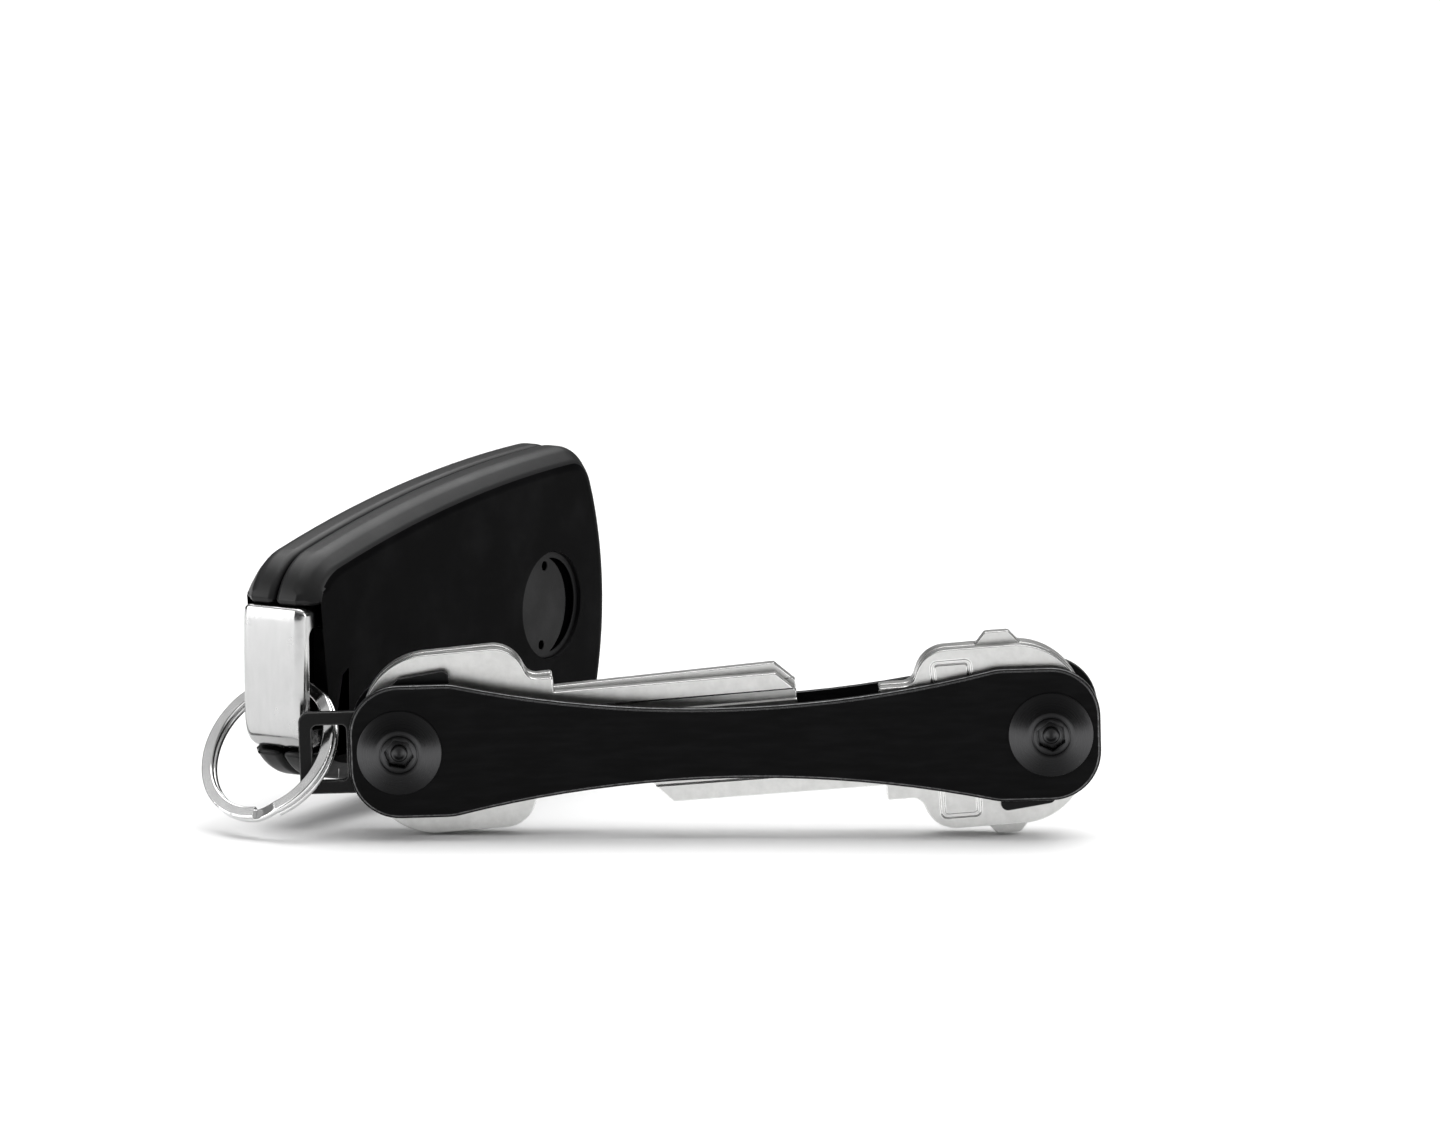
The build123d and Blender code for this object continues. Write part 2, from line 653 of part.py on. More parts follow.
def fob():
    """The fob's pieces in its own plane."""
    cover_x, cover_y = cover_place
    cell_top = fob_thickness / 2 - fob_wall - cell_clearance
    cell_bottom = cell_top - cell_thickness
    board_top = board_level + board_thickness / 2
    nodes = {}
    nodes["fob_cover_shell"] = cover_shell()
    nodes["fob_button_shell"] = button_shell()
    nodes["fob_battery_cover"] = battery_cover()
    nodes["fob_cover_seal"] = cover_seal()
    cap = end_cap()
    blade = spare_blade()
    nodes["fob_end_cap"] = cap - blade
    nodes["spare_key_blade"] = blade
    nodes["coin_cell"] = Pos(cover_x, cover_y, cell_bottom) * extrude(Circle(cell_radius), cell_thickness)
    nodes["circuit_board"] = circuit_board()
    contact_rise = cell_bottom - board_top - 2 * stack_gap
    level = board_top + stack_gap + contact_rise / 2
    contacts = [block(*contact_size, contact_rise, (cover_x + dx, cover_y, level))
                for dx in (-contact_place, contact_place)]
    nodes["battery_contacts"] = Compound(children=contacts)
    switch_middle = board_level - board_thickness / 2 - switch_height / 2
    switches = [block(switch_size, switch_size, switch_height, (x, 0, switch_middle)) for x in button_places]
    nodes["button_switches"] = Compound(children=switches)
    for name, x in zip(("lock_button", "unlock_button", "boot_button"), button_places):
        nodes[name] = button(x)
    nodes["spare_key_slider"] = slider()
    return nodes


# ---- assembly ---------------------------------------------------------------------------
def assemble():
    """All nodes in the working frame, with the organiser standing and the fob behind it."""
    flat = organiser()
    standing = stand_up(flat)
    nodes = {name: standing * shape for name, shape in flat.items()}

    window_x, window_z = ring_window_place
    window_depth = plate_thickness + loop_thickness / 2
    window = (standing * Pos(-post_spacing / 2 - window_x, window_depth, window_z)).position
    ring = ring_plane(window)
    nodes["split_ring"] = ring.location * split_ring()

    turn = math.radians(fob_turn)
    pitch = math.radians(fob_pitch)
    along = Vector(math.cos(turn) * math.cos(pitch), math.sin(turn) * math.cos(pitch), math.sin(pitch))
    out = Vector(math.sin(turn), -math.cos(turn), 0)
    through = ring_point_at(ring, out)
    near_end = through - along * eye_through + out.cross(along) * eye_drop
    place = Plane(origin=near_end, x_dir=along, z_dir=out).location
    for name, shape in fob().items():
        nodes[name] = place * shape
    top = fob_thickness / 2
    places = {
        "left_post": standing * Pos(-post_spacing / 2, 0, 0),
        "right_post": standing * Pos(post_spacing / 2, 0, 0),
        "back_head": standing * Pos(0, body_back + head_height, 0),
        "ring": ring.location,
        "window": Plane(origin=window, x_dir=-ring_to_centre, z_dir=ring_axis).location,
        "eye": Plane(origin=through, x_dir=along, z_dir=out).location,
        "fob": place,
        "cover": place * Pos(*cover_place, top - cover_sink),
        "slider": place * Pos(slider_place, 0, -top),
    }
    for x in button_places:
        places[f"button_{x:g}"] = place * Pos(x, 0, -top)
    return nodes, places


def ring_point_at(ring, out):
    """The point at the top of the ring where its wire runs along the fob's thickness."""
    middle = ring_radius - ring_radial / 2
    flat = out - ring.z_dir * out.dot(ring.z_dir)
    sideways = ring.z_dir.cross(flat).normalized()
    if sideways.Z < 0:
        sideways = -sideways
    return ring.origin + sideways * middle


def main():
    nodes, places = assemble()
    whole = Compound(children=[one(shape) for shape in nodes.values()])
    box = whole.bounding_box()
    centre = Pos(-(box.min.X + box.max.X) / 2, -(box.min.Y + box.max.Y) / 2, -box.min.Z)
    os.makedirs("parts", exist_ok=True)
    for name, shape in nodes.items():
        export_step(centre * one(shape), f"parts/{name}.step")
    for name, place in places.items():
        at = centre * place
        turned_axes = Plane(at)
        print(name, tuple(round(v, 6) for v in at.position),
              "x", tuple(round(v, 6) for v in turned_axes.x_dir),
              "z", tuple(round(v, 6) for v in turned_axes.z_dir))
    print("box", box.size)


main()
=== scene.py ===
import json
import math

import bpy
from bpy.props import FloatProperty, FloatVectorProperty, IntProperty, PointerProperty
from mathutils import Matrix, Vector

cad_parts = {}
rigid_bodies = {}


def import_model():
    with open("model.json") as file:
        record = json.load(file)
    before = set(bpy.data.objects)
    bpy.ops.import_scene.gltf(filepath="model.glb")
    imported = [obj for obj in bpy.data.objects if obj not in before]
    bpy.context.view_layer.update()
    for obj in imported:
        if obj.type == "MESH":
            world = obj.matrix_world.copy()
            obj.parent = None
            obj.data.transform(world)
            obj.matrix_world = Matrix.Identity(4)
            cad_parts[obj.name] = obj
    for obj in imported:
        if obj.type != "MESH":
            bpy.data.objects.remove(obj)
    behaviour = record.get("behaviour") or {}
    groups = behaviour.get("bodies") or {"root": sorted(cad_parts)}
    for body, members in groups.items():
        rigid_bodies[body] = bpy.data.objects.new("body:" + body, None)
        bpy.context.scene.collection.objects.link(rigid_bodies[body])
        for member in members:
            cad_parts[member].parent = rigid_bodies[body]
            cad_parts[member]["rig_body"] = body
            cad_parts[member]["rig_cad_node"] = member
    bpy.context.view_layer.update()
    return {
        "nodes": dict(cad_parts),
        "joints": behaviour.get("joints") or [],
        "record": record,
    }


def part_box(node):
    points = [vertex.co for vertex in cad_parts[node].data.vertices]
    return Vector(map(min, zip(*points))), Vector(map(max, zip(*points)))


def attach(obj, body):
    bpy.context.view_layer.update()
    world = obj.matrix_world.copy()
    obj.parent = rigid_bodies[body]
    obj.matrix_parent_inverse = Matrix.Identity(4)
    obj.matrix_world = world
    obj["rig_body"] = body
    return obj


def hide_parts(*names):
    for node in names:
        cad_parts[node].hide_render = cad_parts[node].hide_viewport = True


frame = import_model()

bl_info = {
    "name": "Key organiser",
    "version": (1, 0, 0),
    "blender": (4, 5, 0),
    "location": "3D view > Sidebar > Key organiser",
    "description": "Finishes a folding key organiser with its keys, split ring and car fob",
    "category": "Object",
}

JOINTS = {joint["name"]: joint for joint in frame["joints"]}
MM = 0.001


def anchor(joint):
    """A point on a joint's axis."""
    return Vector(JOINTS[joint]["pos_m"])


def axis(joint):
    return Vector(JOINTS[joint]["axis"]).normalized()


def middle_of(node):
    """The middle of a CAD node's box."""
    low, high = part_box(node)
    return (low + high) / 2


LEFT_POST = anchor("left_front_key_turn")
RIGHT_POST = anchor("right_front_key_turn")
ALONG_PLATES = (RIGHT_POST - LEFT_POST).normalized()
FACING = Vector((0, -1, 0))
UP_PLATES = FACING.cross(ALONG_PLATES)
FOB_LONG = axis("spare_key_pull")
FOB_OUT = axis("battery_cover_turn")
FOB_UP = FOB_OUT.cross(FOB_LONG)
COVER_CENTRE = anchor("battery_cover_turn")
PLATE_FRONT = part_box("front_plate")[0].y
BODY_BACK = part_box("back_plate")[1].y


def span(node, direction):
    """The lowest and highest place of a CAD node along a direction."""
    places = [vertex.co.dot(direction) for vertex in frame["nodes"][node].data.vertices]
    return min(places), max(places)


SEAM = span("fob_cover_shell", FOB_OUT)[0]
CAP_END = span("fob_end_cap", FOB_LONG)[0]


# ---- sizes and colours ------------------------------------------------------------------
def length(name, description, millimetres):
    return FloatProperty(name=name, description=description, default=millimetres * MM,
                         min=0, subtype="DISTANCE", unit="LENGTH", precision=5)


def colour(name, description, red, green, blue):
    return FloatVectorProperty(name=name, description=description, default=(red, green, blue),
                               size=3, min=0, max=1, subtype="COLOR")


def angle(name, description, radians):
    return FloatProperty(name=name, description=description, default=radians,
                         subtype="ANGLE", unit="ROTATION")


def position(name, description, x, y, z):
    return FloatVectorProperty(name=name, description=description, default=(x, y, z), size=3,
                               subtype="TRANSLATION", unit="LENGTH")


def share(name, description, default):
    return FloatProperty(name=name, description=description, default=default,
                         min=0, max=1, subtype="FACTOR")


class OrganiserSizes(bpy.types.PropertyGroup):
    plate_edge: length("Plate edge", "Rounding on the plates' edges", 0.1)
    key_edge: length("Key edge", "Rounding on the keys' edges", 0.14)
    spacer_edge: length("Spacer edge", "Rounding on spacers and washers", 0.08)
    loop_edge: length("Loop edge", "Rounding on the loop piece", 0.16)
    head_radius: length("Head radius", "Radius of the screw and post heads", 5.2)
    head_rim: length("Head rim", "Height of the heads' straight rim", 0.45)
    head_height: length("Head height", "Height of the heads above the plates", 1.25)
    head_flat: length("Head flat", "Radius of the flat on top of a head", 2.9)
    head_edge: length("Head edge", "Rounding on the turned edges of a head", 0.08)
    collar_width: length("Collar width", "Flat between the cone and the ring groove", 0.5)
    groove_width: length("Ring groove", "Width of the groove round the socket", 0.16)
    groove_depth: length("Groove depth", "Depth of the groove round the socket", 0.12)
    groove_slant: length("Groove slant", "Run of the groove's sloping sides", 0.02)
    socket_flats: length("Socket flats", "Across the flats of the hexagon socket", 3.2)
    socket_depth: length("Socket depth", "Depth of the hexagon socket", 1.05)
    pin_radius: length("Socket pin", "Radius of the disc at the socket's bottom", 1.05)
    pin_height: length("Pin height", "Height of the disc at the socket's bottom", 0.7)
    pin_rise: length("Pin rise", "The disc's middle above the socket's bottom", 0.2)
    pin_edge: length("Pin edge", "Width of the disc's sloping edge", 0.25)
    pin_edge_rise: length("Pin edge rise", "Height of the disc's sloping edge", 0.12)
    pin_dish_edge: length("Pin dish edge", "Width of the slope into the disc's dish", 0.3)
    pin_dish_depth: length("Pin dish depth", "Depth of the dish in the disc", 0.1)
    screw_length: length("Screw length", "Length of the screw's shank", 6.0)
    thread_radius: length("Thread radius", "Radius of the screw's shank", 1.45)
    post_radius: length("Post radius", "Radius of the post's barrel", 2.48)
    post_gap: length("Post gap", "The post's end below the front plate's face", 0.05)
    left_roll: angle("Left roll", "How far the left screw and post are turned", 0.35)
    right_roll: angle("Right roll", "How far the right screw and post are turned", 0.1)
    ring_edge: length("Ring edge", "Rounding on the split ring's wire", 0.03)
    turned_steps: IntProperty(name="Turned steps", description="Sides of a turned part",
                              default=144, min=24, max=512)


class FobSizes(bpy.types.PropertyGroup):
    shell_edge: length("Shell edge", "Rounding on the case's outer edges", 0.9)
    seam_edge: length("Seam edge", "Rounding along the seam and the openings", 0.07)
    cover_edge: length("Cover edge", "Rounding on the battery cover", 0.12)
    cap_edge: length("Cap edge", "Rounding on the metal end cap", 0.3)
    cap_core: length("Cap core", "Where the cap's plastic core starts, from its end", 7.2)
    button_edge: length("Button edge", "Rounding on the buttons", 0.16)
    face_level: length("Face level", "From the seam to the edges rounded most, at least", 1.6)
    cover_across: length("Cover room across", "Half the room for the cover's opening, across", 9.4)
    cover_along: length("Cover room along", "Room for the cover's opening, along the fob", 9.0)
    # The cover's faces below this level get the slot's painted shade.
    slot_level: length("Slot level", "Below the cover's face, where its slot starts", 0.1)
    part_edge: length("Part edge", "Rounding on the small parts inside", 0.05)


class Colours(bpy.types.PropertyGroup):
    plate: colour("Plates", "Black anodised aluminium", 0.0035, 0.0035, 0.0037)
    plate_wear: colour("Plate edges", "Where the anodising is rubbed thin", 0.12, 0.12, 0.122)
    screw: colour("Screws", "Black turned steel", 0.04, 0.04, 0.041)
    spacer: colour("Spacers", "Black satin steel", 0.006, 0.006, 0.0062)
    spacer_wear: colour("Spacer edges", "Rubbed edges of the black steel", 0.07, 0.07, 0.07)
    washer: colour("Washers", "Plain steel", 0.55, 0.55, 0.55)
    key: colour("Keys", "Nickel plate", 0.66, 0.66, 0.65)
    key_edge: colour("Key edges", "Bright milled edges", 0.86, 0.86, 0.85)
    ring: colour("Split ring", "Polished steel", 0.78, 0.78, 0.78)
    shell: colour("Fob case", "Black plastic", 0.003, 0.003, 0.0032)
    button: colour("Buttons", "Dark grey rubber", 0.02, 0.02, 0.021)
    symbol: colour("Symbols", "Printed symbols on the buttons", 0.7, 0.7, 0.7)
    chrome: colour("End cap", "Satin chrome", 0.5, 0.5, 0.5)
    seal: colour("Seal", "Black rubber", 0.012, 0.012, 0.012)
    cell: colour("Cell", "Stainless steel", 0.7, 0.7, 0.69)
    board: colour("Board", "Green lacquer", 0.01, 0.11, 0.04)
    gold: colour("Contacts", "Gold plate", 0.85, 0.62, 0.24)
    switch: colour("Switches", "Black plastic", 0.02, 0.02, 0.02)
    floor: colour("Floor", "The pale floor", 0.9, 0.9, 0.9)


class StageSizes(bpy.types.PropertyGroup):
    floor_size: length("Floor size", "Side of the square floor", 9000)
    camera_distance: length("Camera distance", "From the front of the plates' middle", 950)
    camera_height: angle("Camera elevation", "Angle above the floor", math.radians(11))
    camera_pitch: angle("Camera pitch", "Angle that it looks down at", math.radians(8.98))
    camera_side: FloatProperty(name="Camera side", description="Its X, as the plates' middle is 0",
                               default=0.0, subtype="DISTANCE", unit="LENGTH")
    lens: FloatProperty(name="Lens", description="Focal length in millimetres", default=193.1)
    sensor: FloatProperty(name="Sensor", description="Sensor width in millimetres", default=36)
    lens_shift: FloatProperty(name="Lens shift", description="Sideways, in sensor widths",
                              default=-0.0035)
    near_clip: length("Near clip", "Nearest that the camera sees", 10)
    far_clip: length("Far clip", "Farthest that the camera sees", 30000)
    surround: share("Surround", "Brightness of the room above", 0.6)
    low_surround: share("Low surround", "Brightness of the room near the floor", 0.05)
    fade_low: share("Fade start", "Height where the room starts to brighten", 0.12)
    fade_high: share("Fade end", "Height where the room is at its brightest", 0.75)
    overhead: FloatProperty(name="Overhead light", description="Strength of the light from above",
                            default=2.9, min=0)
    overhead_spread: angle("Overhead spread", "How soft its shadows are", math.radians(70))
    overhead_lean: angle("Overhead lean", "Turned about X", math.radians(-18))
    overhead_tilt: angle("Overhead tilt", "Turned about Y", math.radians(6))
    side_place: position("Side light", "Place of the right one, the left one mirrors it", 0.5, -0.12, 0.16)
    side_aim: position("Side light aim", "Where both side lights point", 0, -0.03, 0.01)
    side_width: length("Side light width", "Width of a side light", 250)
    side_height: length("Side light height", "Height of a side light", 300)
    side_power: FloatProperty(name="Side light power", description="Power of a side light in watts",
                              default=0.9, min=0)


# ---- finishes ---------------------------------------------------------------------------
class Value:
    """A number that changes over a surface, with Python's own operators."""

    def __init__(self, finish, socket):
        self.finish = finish
        self.socket = socket

    def maths(self, operation, *others, first=None, clamp=False):
        operands = (self, *others) if first is None else (first, self)
        made = self.finish.node("ShaderNodeMath", {"operation": operation, "use_clamp": clamp},
                                *operands)
        return Value(self.finish, made.outputs[0])

    def __add__(self, other):
        return self.maths("ADD", other)

    __radd__ = __add__

    def __sub__(self, other):
        return self.maths("SUBTRACT", other)

    def __rsub__(self, other):
        return self.maths("SUBTRACT", first=other)

    def __mul__(self, other):
        return self.maths("MULTIPLY", other)

    __rmul__ = __mul__

    def __truediv__(self, other):
        return self.maths("DIVIDE", other)

    def __pow__(self, other):
        return self.maths("POWER", other)

    def __abs__(self):
        return self.maths("ABSOLUTE")

    def __lt__(self, other):
        return self.maths("LESS_THAN", other)

    def __gt__(self, other):
        return self.maths("GREATER_THAN", other)

    def sine(self):
        return self.maths("SINE")

    def root(self):
        return self.maths("SQRT")

    def clamped(self):
        return self.maths("ADD", 0.0, clamp=True)

    def rising(self, low, high):
        """0 below low, 1 above high, smooth between."""
        made = self.finish.node("ShaderNodeMapRange", {"interpolation_type": "SMOOTHSTEP"},
                                self, low, high, 0.0, 1.0)
        return Value(self.finish, made.outputs[0])


class Finish:
    """One material and the nodes that it is made of."""

    def __init__(self, name, **constants):
        self.material = bpy.data.materials.new(name)
        self.material.use_nodes = True
        self.tree = self.material.node_tree
        self.shader = self.tree.nodes["Principled BSDF"]
        for socket, value in constants.items():
            self.shader.inputs[socket.replace("_", " ")].default_value = value
        self.coordinates = self.node("ShaderNodeTexCoord").outputs["Object"]

    def node(self, kind, settings=None, *values, **named):
        """Any node: its settings first, then the values or links of its sockets."""
        made = self.tree.nodes.new(kind)
        for setting, value in (settings or {}).items():
            setattr(made, setting, value)
        pairs = list(zip(made.inputs, values))
        pairs += [(made.inputs[name.replace("_", " ")], value) for name, value in named.items()]
        for socket, value in pairs:
            if isinstance(value, Value):
                value = value.socket
            if isinstance(value, bpy.types.NodeSocket):
                self.tree.links.new(value, socket)
            else:
                socket.default_value = value
        return made

    def feed(self, **links):
        for socket, value in links.items():
            source = value.socket if isinstance(value, Value) else value
            self.tree.links.new(source, self.shader.inputs[socket.replace("_", " ")])

    def along(self, origin, direction):
        """Distance from origin along a direction, in millimetres."""
        offset = self.node("ShaderNodeVectorMath", {"operation": "SUBTRACT"},
                           self.coordinates, tuple(origin)).outputs["Vector"]
        made = self.node("ShaderNodeVectorMath", {"operation": "DOT_PRODUCT"},
                         offset, tuple(direction / MM))
        return Value(self, made.outputs["Value"])

    def noise(self, x, y, z, scale=1.0, detail=3.0, roughness=0.5):
        """Even noise round a half, on three distances."""
        point = self.node("ShaderNodeCombineXYZ", None, x, y, z).outputs[0]
        made = self.node("ShaderNodeTexNoise", None, Vector=point, Scale=scale, Detail=detail,
                         Roughness=roughness)
        return Value(self, made.outputs[0])

    def grain(self, scale, detail=3.0, roughness=0.5):
        """Even noise round a half, with so many grains per millimetre."""
        made = self.node("ShaderNodeTexNoise", None, Vector=self.coordinates, Scale=scale / MM,
                         Detail=detail, Roughness=roughness)
        return Value(self, made.outputs[0])

    def between(self, mask, low, high):
        """One colour where the mask is 0, another where it is 1."""
        made = self.node("ShaderNodeMix", {"data_type": "RGBA", "clamp_factor": True})
        self.tree.links.new(mask.socket, made.inputs["Factor"])
        for socket, shade in zip((made.inputs[6], made.inputs[7]), (low, high)):
            if isinstance(shade, bpy.types.NodeSocket):
                self.tree.links.new(shade, socket)
            else:
                socket.default_value = (*shade, 1)
        return made.outputs[2]

    def relief(self, height, microns):
        """Feeds the surface's normal with a relief of that height."""
        bump = self.node("ShaderNodeBump", None, Height=height, Distance=microns * 1e-6,
                         Strength=1.0)
        self.feed(Normal=bump.outputs["Normal"])


def scaled(shade, factor):
    return tuple(min(1.0, part * factor) for part in shade)


def anodised(shade):
    """Black anodised aluminium: a fine blasted grain and faint wipe marks."""
    made = Finish("black_anodised", Metallic=0.0, Specular_IOR_Level=0.05)
    x = made.along(LEFT_POST, ALONG_PLATES)
    z = made.along(LEFT_POST, UP_PLATES)
    grain = made.grain(9.0, 4.0, 0.65)
    wipes = made.noise(x * 0.16, 0.0, z * 1.1, 1.0, 5.0, 0.6)
    made.feed(Base_Color=made.between(wipes.rising(0.35, 0.75), scaled(shade, 0.8), scaled(shade, 1.7)),
              Roughness=0.3 + wipes * 0.16 + grain * 0.1)
    made.relief(grain + wipes * 0.3, 3.0)
    return made.material


def rubbed_edge(name, shade, specular=0.5):
    """An edge where a black finish is rubbed thin and catches the light."""
    made = Finish(name, Specular_IOR_Level=specular)
    spots = made.grain(1.4, 5.0, 0.7)
    wear = spots.rising(0.34, 0.62)
    made.feed(Base_Color=made.between(wear, scaled(shade, 0.35), shade),
              Metallic=0.55 + wear * 0.4,
              Roughness=0.34 - wear * 0.1)
    return made.material


def turned_black(shade, centre, name):
    """Black steel, faced on a lathe: fine rings round its axis, and a painted bow-tie highlight in its
    base colour.
    """
    made = Finish(name, Metallic=1.0)
    x = made.along(centre, ALONG_PLATES)
    z = made.along(centre, UP_PLATES)
    radius = (x * x + z * z).root()
    rings = made.noise(radius * 9.0, 0.0, 0.0, 1.0, 6.0, 0.75)
    fine = (radius * 62.0).sine() * 0.5 + 0.5
    # Painted highlight: the base colour is lighter where the tool marks lie upright, left and right of the
    # axis, standing in for the light that they catch from both sides.
    upright = (x * x / (x * x + z * z + 0.05)) ** 1.5
    # The colour mask is mostly that painted highlight, with a little of the rings' own tone.
    rings_and_painted_sheen = upright * 0.75 + rings * 0.25
    made.feed(Base_Color=made.between(rings_and_painted_sheen.clamped(), scaled(shade, 0.22), scaled(shade, 1.9)),
              Roughness=0.2 + rings * 0.16)
    made.relief(rings + fine * 0.35, 7.0)
    return made.material


def black_steel(shade):
    """Black satin steel with a faint rolled grain."""
    made = Finish("black_satin_steel", Metallic=0.2, Specular_IOR_Level=0.15)
    x = made.along(LEFT_POST, ALONG_PLATES)
    z = made.along(LEFT_POST, UP_PLATES)
    rolled = made.noise(x * 0.5, 0.0, z * 6.0, 1.0, 4.0, 0.6)
    made.feed(Base_Color=made.between(rolled, scaled(shade, 0.6), scaled(shade, 1.5)),
              Roughness=0.3 + rolled * 0.15)
    made.relief(rolled, 3.0)
    return made.material


def washer_steel(shade):
    made = Finish("washer_steel", Metallic=1.0)
    stamped = made.grain(2.2, 4.0, 0.6)
    made.feed(Base_Color=made.between(stamped, scaled(shade, 0.8), scaled(shade, 1.1)),
              Roughness=0.3 + stamped * 0.2)
    made.relief(stamped, 4.0)
    return made.material


def nickel(shade, pivot, direction, name):
    """Nickel plate over milled brass: brushed along the key, with handling marks."""
    made = Finish(name, Metallic=1.0)
    across = FACING.cross(direction)
    x = made.along(pivot, direction)
    z = made.along(pivot, across)
    y = made.along(pivot, FACING)
    brushed = made.noise(x * 0.35, y * 2.0, z * 14.0, 1.0, 4.0, 0.6)
    marks = made.noise(x * 0.5, y * 0.5, z * 0.5, 1.0, 5.0, 0.62)
    scratches = made.noise(x * 2.2 + z * 1.6, 0.0, z * 9.0 - x * 6.5, 1.0, 2.0, 0.5)
    scratch = scratches.rising(0.66, 0.72)
    made.feed(Base_Color=made.between(marks.rising(0.3, 0.75), scaled(shade, 0.88), scaled(shade, 1.05)),
              Roughness=0.2 + brushed * 0.14 + marks * 0.1 + scratch * 0.12)
    made.relief(brushed * 0.7 + marks * 0.3 - scratch * 0.8, 4.5)
    return made.material


def bright_edge(shade):
    """The keys' milled and rubbed edges."""
    made = Finish("nickel_edge", Metallic=1.0)
    rubbed = made.grain(2.6, 4.0, 0.6)
    made.feed(Base_Color=made.between(rubbed, scaled(shade, 0.86), scaled(shade, 1.06)),
              Roughness=0.14 + rubbed * 0.12)
    return made.material


def polished(shade):
    """Polished spring steel with fine wear scratches."""
    made = Finish("polished_steel", Metallic=1.0)
    fine = made.grain(5.0, 5.0, 0.7)
    wide = made.grain(0.5, 3.0, 0.5)
    made.feed(Base_Color=made.between(wide, scaled(shade, 0.82), scaled(shade, 1.1)),
              Roughness=0.08 + fine * 0.12)
    made.relief(fine, 2.5)
    return made.material


def chrome(shade):
    """Satin chrome, worn a little where it is gripped."""
    made = Finish("satin_chrome", Metallic=1.0)
    x = made.along(COVER_CENTRE, FOB_LONG)
    y = made.along(COVER_CENTRE, FOB_UP)
    z = made.along(COVER_CENTRE, FOB_OUT)
    streaks = made.noise(x * 1.2, y * 0.25, z * 1.2, 1.0, 5.0, 0.6)
    worn = made.grain(0.28, 5.0, 0.6).rising(0.45, 0.7)
    made.feed(Base_Color=made.between(streaks, scaled(shade, 0.84), scaled(shade, 1.08)),
              Roughness=0.12 + streaks * 0.1 + worn * 0.14)
    made.relief(streaks + worn * 0.15, 6.0)
    return made.material


def moulded(name, shade, roughness=0.38, specular=0.012, texture=9.0):
    """Moulded black plastic with a fine spark texture and faint rubbing."""
    made = Finish(name, Specular_IOR_Level=specular)
    sparks = made.grain(4.5, 3.0, 0.6)
    rubbed = made.grain(0.12, 5.0, 0.6).rising(0.4, 0.75)
    made.feed(Base_Color=made.between(rubbed, scaled(shade, 0.75), scaled(shade, 1.6)),
              Roughness=roughness + sparks * 0.14 - rubbed * 0.08)
    made.relief(sparks, texture)
    return made.material


def ring_line(x, y, radius, width):
    """1 on a thin circle."""
    return abs((x * x + y * y).root() - radius) < width


def rectangle(x, y, half_x, half_y):
    """1 inside an upright rectangle."""
    return (abs(x) < half_x) * (abs(y) < half_y)


def padlock(x, y, lift):
    """A padlock with its body at the middle and its shackle lifted so far."""
    body = rectangle(x, y + 1.1, 1.6, 1.2)
    keyhole = (x * x + (y + 1.0) * (y + 1.0)).root() < 0.4
    shackle = ring_line(x, y - 0.3 - lift, 1.1, 0.22) * (y > 0.3 + lift)
    legs = (abs(abs(x) - 1.1) < 0.22) * (abs(y - 0.2 - lift * 0.5) < 0.35 + lift * 0.5)
    if lift:
        legs = legs * (x < 0.0)
    return (body * (1.0 - keyhole) + shackle + legs).clamped()


def car_boot(x, y):
    """A car from the side with its boot lid up."""
    body = rectangle(x, y + 0.9, 2.6, 0.55)
    cabin = rectangle(x + 0.3, y - 0.05, 1.3, 0.45)
    hub = abs(x) - 1.5
    wheel = (hub * hub + (y + 1.5) * (y + 1.5)).root() < 0.5
    lid = (abs(y - 0.2 - (x - 1.5) * 1.2) < 0.28) * (abs(x - 1.9) < 0.6)
    return (body + cabin + wheel + lid).clamped()


def rubber_key(name, shade, symbol_shade, centre, symbol):
    """Soft button rubber with one printed symbol."""
    made = Finish(name, Specular_IOR_Level=0.3)
    # The symbols face the other way from the battery cover and read across the fob.
    x = made.along(centre, -FOB_UP)
    y = made.along(centre, -FOB_LONG)
    depth = made.along(centre, -FOB_OUT)
    mask = symbol(x, y) * (depth > 0.0)
    grain = made.grain(6.0, 3.0)
    rubbed = made.grain(0.4, 4.0)
    plain = made.between(rubbed, scaled(shade, 0.7), scaled(shade, 1.4))
    made.feed(Base_Color=made.between(mask, plain, symbol_shade),
              Roughness=0.52 + grain * 0.16 - mask * 0.14)
    made.relief(grain * (1.0 - mask), 8.0)
    return made.material


def rubber(shade):
    made = Finish("seal_rubber", Specular_IOR_Level=0.3)
    grain = made.grain(5.0, 3.0)
    made.feed(Base_Color=made.between(grain, scaled(shade, 0.6), scaled(shade, 1.5)),
              Roughness=0.55 + grain * 0.2)
    made.relief(grain, 6.0)
    return made.material


def cell_steel(shade):
    """Stainless cell can, spun bright round its middle."""
    made = Finish("cell_steel", Metallic=1.0)
    x = made.along(COVER_CENTRE, FOB_LONG)
    y = made.along(COVER_CENTRE, FOB_UP)
    radius = (x * x + y * y).root()
    rings = made.noise(radius * 6.0, 0.0, 0.0, 1.0, 4.0, 0.6)
    made.feed(Base_Color=made.between(rings, scaled(shade, 0.85), scaled(shade, 1.08)),
              Roughness=0.22 + rings * 0.14)
    made.relief(rings, 4.0)
    return made.material


def circuit(shade, gold):
    """Green lacquer over copper tracks, with plated pads."""
    made = Finish("board_lacquer", Coat_Roughness=0.12)
    x = made.along(COVER_CENTRE, FOB_LONG)
    y = made.along(COVER_CENTRE, FOB_UP)
    wander = made.noise(x * 0.2, y * 0.2, 0.0, 1.0, 2.0)
    lines = (y * 4.2 + wander * 14.0).sine()
    track = lines.rising(0.45, 0.6)
    holes = made.noise(x * 0.9, y * 0.9, 0.0, 1.0, 0.0).rising(0.7, 0.72)
    lacquer = made.between(track, scaled(shade, 0.6), scaled(shade, 1.9))
    made.feed(Base_Color=made.between(holes, lacquer, gold),
              Metallic=holes, Roughness=0.3 - track * 0.08, Coat_Weight=1.0 - holes)
    made.relief(track + holes * 0.5, 30.0)
    return made.material


